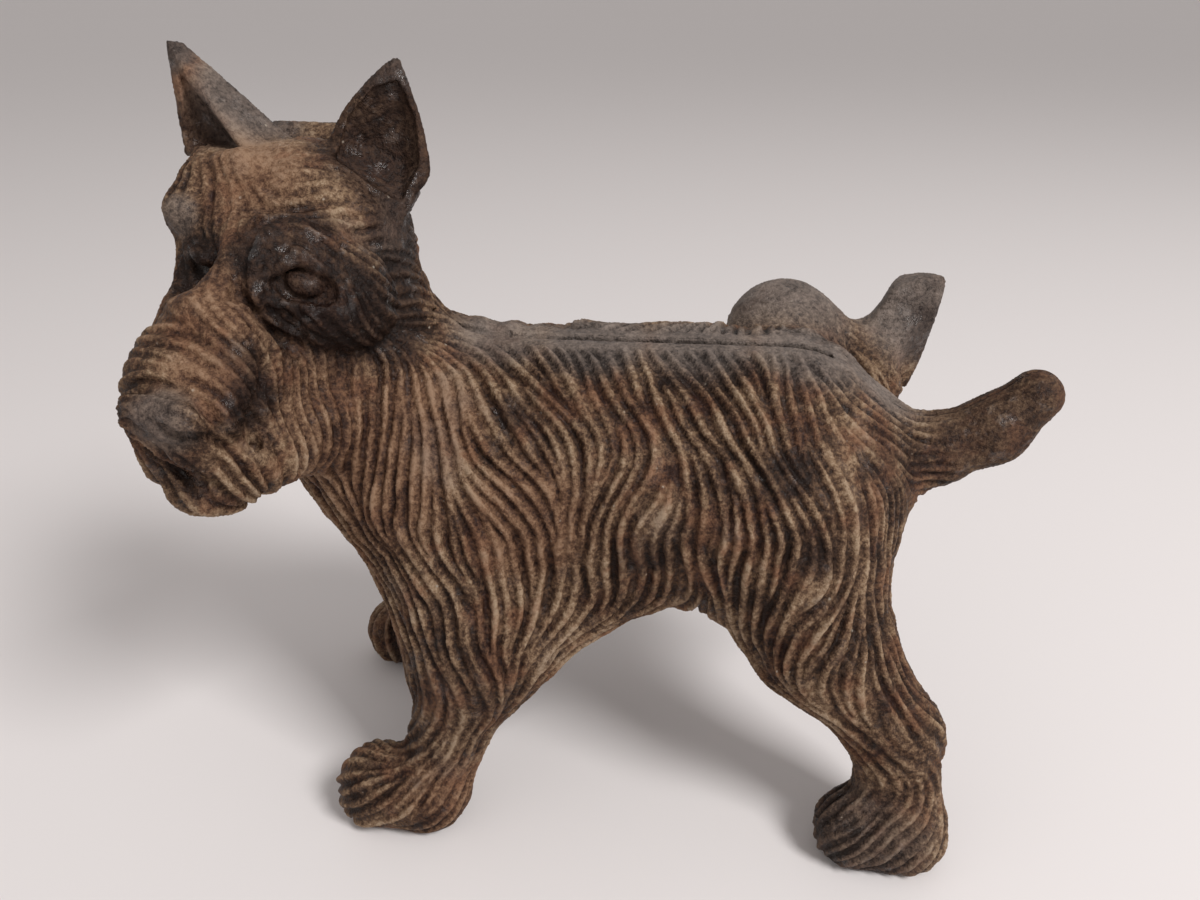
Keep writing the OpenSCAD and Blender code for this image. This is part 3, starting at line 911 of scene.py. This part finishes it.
def worn_iron(name):
    """Old cast iron: dark waxed patina in the hollows, dry tan rust rubbed along the ridges, with painted
    shade in a few recesses and a few painted glints.
    """
    look = Look(name)
    relief = look.attribute("relief")
    grey_place, dark_patina_and_shade, rust_place = (look.attribute(n) for n in ("grey", "dark", "rust"))
    broad = look.noise(17, 3, 0.6)
    patchy = look.noise(4.0, 5, 0.7, 0.3)
    grain = look.noise(0.75, 3, 0.8)
    sand = look.noise(0.30, 2, 0.6)
    # How much rust shows: ridges, then blotches, then single grains.
    worn = look.math("ADD", relief, look.span(patchy, 0.36, 0.64, -0.16, 0.16))
    worn = look.math("ADD", worn, look.span(broad, 0.38, 0.62, -0.10, 0.10))
    worn = look.math("ADD", worn, look.span(grain, 0.36, 0.64, -0.26, 0.26))
    worn = look.math("ADD", worn, look.math("MULTIPLY", rust_place, 0.12))
    # The dark places take rust away: dark patina, and painted shade in the right eye's socket, the crease
    # beside the muzzle and the mouth.
    worn = look.math("SUBTRACT", worn, look.math("MULTIPLY", dark_patina_and_shade, 0.30), clamp=True)
    brown = look.ramp(worn, [
        (0.00, (0.014, 0.0068, 0.0042, 1)),
        (0.28, (0.045, 0.0235, 0.0140, 1)),
        (0.50, (0.106, 0.0610, 0.0360, 1)),
        (0.72, (0.204, 0.1310, 0.0790, 1)),
        (1.00, (0.315, 0.2280, 0.1530, 1))])
    red = look.ramp(worn, [(0.1, (0.026, 0.010, 0.007, 1)), (0.9, (0.190, 0.086, 0.046, 1))])
    redness = look.span(look.noise(7, 4, 0.65), 0.48, 0.62)
    redness = look.math("MAXIMUM", redness, look.math("MULTIPLY", rust_place, 0.7))
    brown = look.mix(look.math("MULTIPLY", redness, 0.7), brown, red)
    slate = look.ramp(worn, [(0.1, (0.034, 0.0265, 0.023, 1)), (0.9, (0.205, 0.165, 0.142, 1))])
    grey = look.math("MULTIPLY", grey_place, 0.95)
    grey = look.math("ADD", grey, look.span(broad, 0.60, 0.74, 0.0, 0.3), clamp=True)
    colour = look.mix(grey, brown, slate)
    # Black iron: random sooty patches and the dark places, which are part patina and part painted shade.
    soot_and_shade = look.span(look.noise(8, 5, 0.7, 0.3), 0.61, 0.68, 0.0, 0.45)
    soot_and_shade = look.math("MAXIMUM", soot_and_shade, look.math("MULTIPLY", dark_patina_and_shade, 0.8))
    black = look.ramp(worn, [(0.0, (0.007, 0.0038, 0.0030, 1)), (0.9, (0.052, 0.029, 0.021, 1))])
    colour = look.mix(soot_and_shade, colour, black)
    # Painted highlights: a few bright specks mixed into the colour as painted glints.
    glint = look.span(look.specks(2.6), 0.10, 0.05)
    glint = look.math("MULTIPLY", glint, look.span(patchy, 0.52, 0.60))
    colour = look.mix(look.math("MULTIPLY", glint, 0.6), colour, (0.42, 0.36, 0.29, 1))
    look.join(colour, look.shader.inputs["Base Color"])
    waxy = look.span(look.noise(2.6, 3, 0.55), 0.56, 0.64)
    wax = look.math("MULTIPLY", look.math("ADD", soot_and_shade, 0.25), waxy)
    shine = look.span(worn, 0.15, 0.75, 0.45, 0.78)
    shine = look.math("SUBTRACT", shine, look.math("MULTIPLY", wax, 0.40))
    shine = look.math("SUBTRACT", shine, look.math("MULTIPLY", grey_place, 0.12))
    shine = look.math("ADD", shine, look.span(grain, 0.3, 0.7, -0.10, 0.10), clamp=True)
    look.join(shine, look.shader.inputs["Roughness"])
    look.join(look.span(wax, 0, 1, 0.15, 0.62), look.shader.inputs["Specular IOR Level"])
    look.join(0.1, look.shader.inputs["Metallic"])
    pits = look.span(look.specks(1.6), 0.06, 0.20)
    normal = look.bump(grain, 1.0, 0.35)
    normal = look.bump(sand, 0.7, 0.10, normal)
    normal = look.bump(pits, 0.5, 0.12, normal)
    look.join(normal, look.shader.inputs["Normal"])
    return look.material


def dull_steel(name):
    """Steel gone brown in the air, with rust in its specks."""
    look = Look(name)
    rust = look.span(look.noise(1.6, 4, 0.7), 0.40, 0.62)
    colour = look.mix(rust, (0.20, 0.17, 0.145, 1), (0.085, 0.046, 0.028, 1))
    look.join(colour, look.shader.inputs["Base Color"])
    look.join(look.span(rust, 0, 1, 0.36, 0.75), look.shader.inputs["Roughness"])
    look.join(0.85, look.shader.inputs["Metallic"])
    look.join(look.bump(look.noise(0.5), 0.5, 0.05), look.shader.inputs["Normal"])
    return look.material


iron = worn_iron("worn_cast_iron")
for piece in pieces.values():
    piece.data.materials.append(iron)
steel = dull_steel("dull_steel")
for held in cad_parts["assembly_screw"].material_slots:
    held.material = steel

# ---------------------------------------------------------------- camera, light and floor

# The camera's place in the figure's frame, in millimetres, and its angles in degrees.
CAMERA_PLACE = (0, -147, 123)
CAMERA_TILT, CAMERA_TURN = 66, 6
FLOOR_LINES = (-30, -10, 10, 30)
FLOOR_RISE = 0.6
FLOOR_COLOUR = (0.74, 0.70, 0.69, 1)
WORLD_COLOUR = (0.8, 0.77, 0.76, 1)
WORLD_STRENGTH = 0.64
# What the lights aim at, in metres.
AIM = (0, 0, 0.05)


def make_camera():
    data = bpy.data.cameras.new("camera")
    camera = bpy.data.objects.new("camera", data)
    bpy.context.collection.objects.link(camera)
    data.lens = 30
    data.sensor_width = 36
    data.clip_start = 0.005
    camera.location = [v * MM for v in ORIGIN + np.array(CAMERA_PLACE)]
    camera.rotation_euler = (math.radians(CAMERA_TILT), 0, math.radians(CAMERA_TURN))
    return camera


def make_floor():
    """The floor is flat for 10 m and rises a little 30 m out, so that no gap shows above it."""
    points = [(x, y, FLOOR_RISE if 30 in (abs(x), abs(y)) else 0) for y in FLOOR_LINES for x in FLOOR_LINES]
    faces = [(4 * j + i, 4 * j + i + 1, 4 * j + i + 5, 4 * j + i + 4) for j in range(3) for i in range(3)]
    mesh = bpy.data.meshes.new("floor")
    mesh.from_pydata(points, [], faces)
    floor = bpy.data.objects.new("floor", mesh)
    bpy.context.collection.objects.link(floor)
    look = bpy.data.materials.new("floor")
    look.use_nodes = True
    shader = look.node_tree.nodes["Principled BSDF"]
    shader.inputs["Base Color"].default_value = FLOOR_COLOUR
    shader.inputs["Roughness"].default_value = 0.6
    mesh.materials.append(look)
    return floor


def area_light(name, place, size, power):
    data = bpy.data.lights.new(name, "AREA")
    data.energy = power
    data.size = size
    lamp = bpy.data.objects.new(name, data)
    bpy.context.collection.objects.link(lamp)
    lamp.location = place
    lamp.rotation_euler = (Vector(AIM) - Vector(place)).to_track_quat("-Z", "Y").to_euler()


def make_world():
    world = bpy.data.worlds.new("studio")
    bpy.context.scene.world = world
    world.use_nodes = True
    background = world.node_tree.nodes["Background"]
    background.inputs["Color"].default_value = WORLD_COLOUR
    background.inputs["Strength"].default_value = WORLD_STRENGTH


bpy.context.scene.camera = make_camera()
bpy.context.scene.view_settings.view_transform = "Standard"
floor = make_floor()
area_light("key", (0.60, -0.52, 0.80), 0.34, 10.8)
area_light("fill", (-0.6, -0.6, 0.5), 0.8, 0.5)
make_world()
